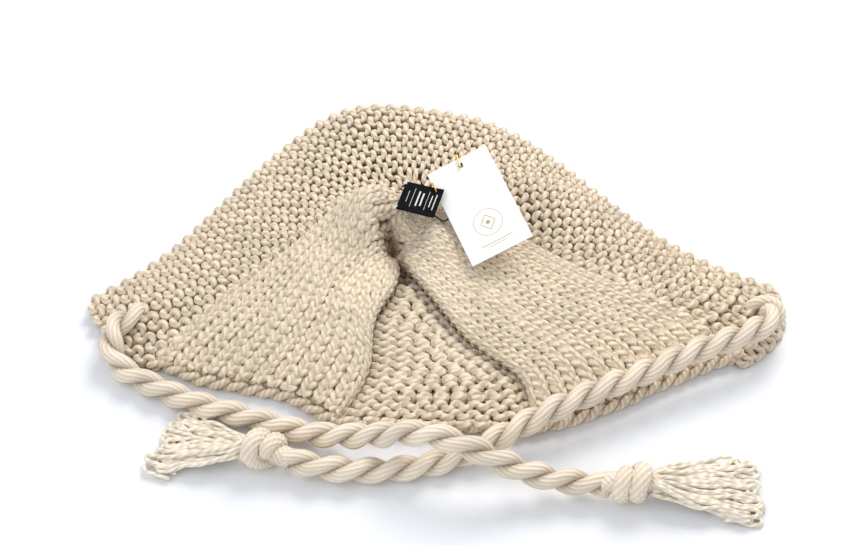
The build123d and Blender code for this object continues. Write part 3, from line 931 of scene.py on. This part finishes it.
gusset_yarn = gusset_knit("gusset_stitches")
a, b = np.meshgrid(np.linspace(-0.1, 1.1, 40), np.linspace(0, 1, 50), indexing="ij")
gusset_points, _ = nape.lift(gusset_plan(a, b), np.full(a.shape, CLOTH_OFFSET))
gusset_cloth = sheet_object("gusset_fabric", gusset_points, painted_shade_backing)

# Hem edging: a bound-off edge of two strands that winds along the hem
HEM_INSET, HEM_HEIGHT = 3.6, 5.4
HEM_OFFSET, HEM_RADIUS, HEM_LAY = 2.1, 2.9, 23.0
hem_line = spline(HEM, 900)
hem_across = unit(np.stack([-np.gradient(hem_line[:, 1]), np.gradient(hem_line[:, 0])], -1))
hem_run = np.linspace(0, 1, 900)
wander = 0.7 * np.sin(hem_run * 61) + 0.5 * np.sin(hem_run * 143 + 1)
hem_plan = hem_line + hem_across * (HEM_INSET + wander * 0.5)[:, None]
hem_path = np.column_stack([hem_plan, HEM_HEIGHT + wander * 0.4])
hem_rope = rope(hem_path, HEM_OFFSET, HEM_RADIUS, HEM_LAY, 12, KNIT_STRANDS, 0.07, KNIT_TWIST)
hem_yarn = hem_rope.build("hem_edge_yarn", knit)

for piece, node in (
    (left_cloth, "left_side_panel"),
    (right_cloth, "right_side_panel"),
    (band_cloth, "face_band"),
    (gusset_cloth, "nape_gusset"),
    (hem_yarn, "hem_edging"),
):
    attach(piece, "root")
    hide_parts(node)
for piece in (left_yarn, right_yarn, band_left, band_crown, band_right, gusset_yarn):
    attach(piece, "root")

# ---------------------------------------------------------------- label, tag, pin and string
class Plate:
    """A flat piece's own axes: x and y on it, z out of its face."""

    def __init__(self, origin, x_axis, upright):
        self.origin = np.array(origin)
        self.x = unit(np.array(x_axis))
        upright = np.array(upright)
        self.z = unit(upright - self.x * (upright @ self.x))
        self.y = np.cross(self.z, self.x)

    def point(self, x, y, z):
        """Points in millimetres for places on the piece."""
        on_face = self.origin + np.multiply.outer(x, self.x) + np.multiply.outer(y, self.y)
        return on_face + np.multiply.outer(z, self.z)


label = Plate((-23.4, 8.6, 62.0), (27, -7.4, -1.0), (0.037, 0, 1.0))
tag = Plate((19.2, 34.5, 66.5), (41.6, 14.4, 15.7), (-0.253, -0.278, 0.927))
LABEL_LENGTH, LABEL_HALF = 28, 14.25
LABEL_BOTTOM, LABEL_TOP = 0.1, 0.8
BAR_BOTTOM, BAR_TOP = 0.7, 0.93


def label_ripple(x, y):
    """Height of the folded satin above its flat place."""
    return 0.25 * np.sin(x * 0.21 + 0.4) + 0.18 * np.sin(y * 0.33 + x * 0.1)


def label_slab(name, x, y, bottom, top, material):
    """A closed thin piece of the label over a grid of x and y, between two heights over its ripple."""
    X, Y = np.meshgrid(x, y, indexing="ij")
    ripple = label_ripple(X, Y)
    n, m = X.shape
    high, low = label.point(X, Y, ripple + top), label.point(X, Y, ripple + bottom)
    verts = np.concatenate([high.reshape(-1, 3), low.reshape(-1, 3)]) * MM
    face = grid_quads(n, m)
    rim = [i * m for i in range(n)] + [(n - 1) * m + k for k in range(1, m)]
    rim += [i * m + m - 1 for i in range(n - 2, -1, -1)] + [k for k in range(m - 2, 0, -1)]
    rim = np.array(rim)
    after = np.roll(rim, -1)
    wall = np.stack([rim, rim + n * m, after + n * m, after], -1)
    quads = np.concatenate([face, face[:, ::-1] + n * m, wall])
    piece = mesh_object(name, verts, quads, None, material)
    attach(piece, "label")
    return piece


label_piece = label_slab(
    "label_satin",
    np.linspace(0, LABEL_LENGTH, 29),
    np.linspace(-LABEL_HALF, LABEL_HALF, 29),
    LABEL_BOTTOM,
    LABEL_TOP,
    satin,
)
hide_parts("woven_label")

# Plain woven bars on the label, as distance from the sewn edge, half length, width
BARS = [
    (5.0, 5.5, 0.35), (8.6, 9.5, 0.3), (12.4, 7.5, 1.15), (15.4, 6.5, 1.15),
    (19.0, 9.5, 0.25), (21.8, 6.0, 0.7), (24.6, 8.0, 0.7),
]
for number, (x, half, width) in enumerate(BARS):
    across_bar = np.linspace(x - width / 2, x + width / 2, 3)
    along_bar = np.linspace(-half, half, 24)
    label_slab(f"label_bar_{number}", across_bar, along_bar, BAR_BOTTOM, BAR_TOP, white_print)

# White stitches that sew the label's two corners down
SEWN_AT, SEWN_APART = 12.75, 1.1  # from the label's middle to each middle stitch, and from it to the next
THREAD = 0.42  # radius
sewing = Yarn()
for side in (-1, 1):
    for k in range(3):
        y = side * (SEWN_AT - SEWN_APART * (k - 1))
        t = np.linspace(0, math.pi, 16)
        x = -2.0 + 1.6 * (1 - np.cos(t)) * 0.9
        path = label.point(x + 0.2 * k, np.full_like(x, y) + 0.5 * np.sin(3 * t + k), 2.0 * np.sin(t) - 1.0)
        sewing.add(path, label.y, THREAD, sides=8, lobes=2, depth=0.1, pitch=2.5)
sewing_piece = sewing.build("label_corner_stitches", white_thread)
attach(sewing_piece, "root")
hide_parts("label_stitches")

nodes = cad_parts
for name, material in (
    ("hang_tag", card),
    ("tag_pin", brass),
    ("pin_clasp", brass),
    ("tag_string", black_thread),
):
    nodes[name].data.materials.clear()
    nodes[name].data.materials.append(material)

# Generic gold print on the tag: a ring with a diamond and a dot in it, over two thin bars
PRINT_HEIGHT = 0.6 + 0.03  # the card's face, and a little over it
MOTIF_X, MOTIF_Y = -1, -52
RING_RADIUS, DOT_RADIUS = 10.5, 0.8
DIAMOND_X, DIAMOND_Y = 5.4, 6.4  # from its middle to its corners


def tag_line(name, path, width):
    """A flat printed line on the tag's face, along points in tag coordinates."""
    across = unit(np.stack([-np.gradient(path[:, 1]), np.gradient(path[:, 0])], -1)) * width / 2
    height = np.full(len(path), PRINT_HEIGHT)
    grid = np.stack([tag.point(*edge.T, height) for edge in (path + across, path - across)], axis=0)
    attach(sheet_object(name, grid, gold_print), "tag")


def tag_ring(name, radius, width):
    """A printed ring round the middle of the motif."""
    angle = np.linspace(0, 2 * math.pi, 61)
    tag_line(name, np.stack([MOTIF_X + radius * np.cos(angle), MOTIF_Y + radius * np.sin(angle)], 1), width)


def tag_bar(name, first, last, y, width):
    """A printed bar across the tag."""
    tag_line(name, np.stack([np.linspace(first, last, 9), np.full(9, y)], 1), width)


tag_ring("tag_ring", RING_RADIUS, 0.35)
corners = [
    (MOTIF_X + DIAMOND_X * x, MOTIF_Y + DIAMOND_Y * y) for x, y in ((0, -1), (1, 0), (0, 1), (-1, 0), (0, -1))
]
tag_line("tag_diamond", even(np.array(corners), 41), 0.5)
tag_ring("tag_dot", DOT_RADIUS, 1.4)
tag_bar("tag_bar_0", -13, 11, -68.5, 0.5)
tag_bar("tag_bar_1", -8, 6, -70.6, 0.35)

# ---------------------------------------------------------------- floor and light
floor_material = noise_material("pale floor", (0.86, 0.87, 0.89), (0.84, 0.85, 0.875), 6, 0.7, 0.02, 0.0002)
bpy.ops.mesh.primitive_plane_add(size=8, location=(0, 0, 0))
floor = bpy.context.object
floor.name = "floor"
floor.data.materials.append(floor_material)

world = bpy.data.worlds.new("studio")
world.use_nodes = True
world.node_tree.nodes["Background"].inputs["Color"].default_value = (0.91, 0.95, 1.0, 1)
world.node_tree.nodes["Background"].inputs["Strength"].default_value = 0.74
bpy.context.scene.world = world


def area_light(name, location, size, power, colour):
    data = bpy.data.lights.new(name, "AREA")
    data.energy = power
    data.size = size
    data.color = colour
    lamp = bpy.data.objects.new(name, data)
    lamp.location = location
    lamp.rotation_euler = (-Vector(location)).to_track_quat("-Z", "Y").to_euler()
    bpy.context.scene.collection.objects.link(lamp)


area_light("key", (0.40, 0.75, 1.15), 0.7, 13, (1.0, 0.97, 0.93))
area_light("fill", (-0.9, -0.7, 1.2), 1.4, 7, (0.95, 0.97, 1.0))
bpy.context.scene.view_settings.view_transform = "Standard"
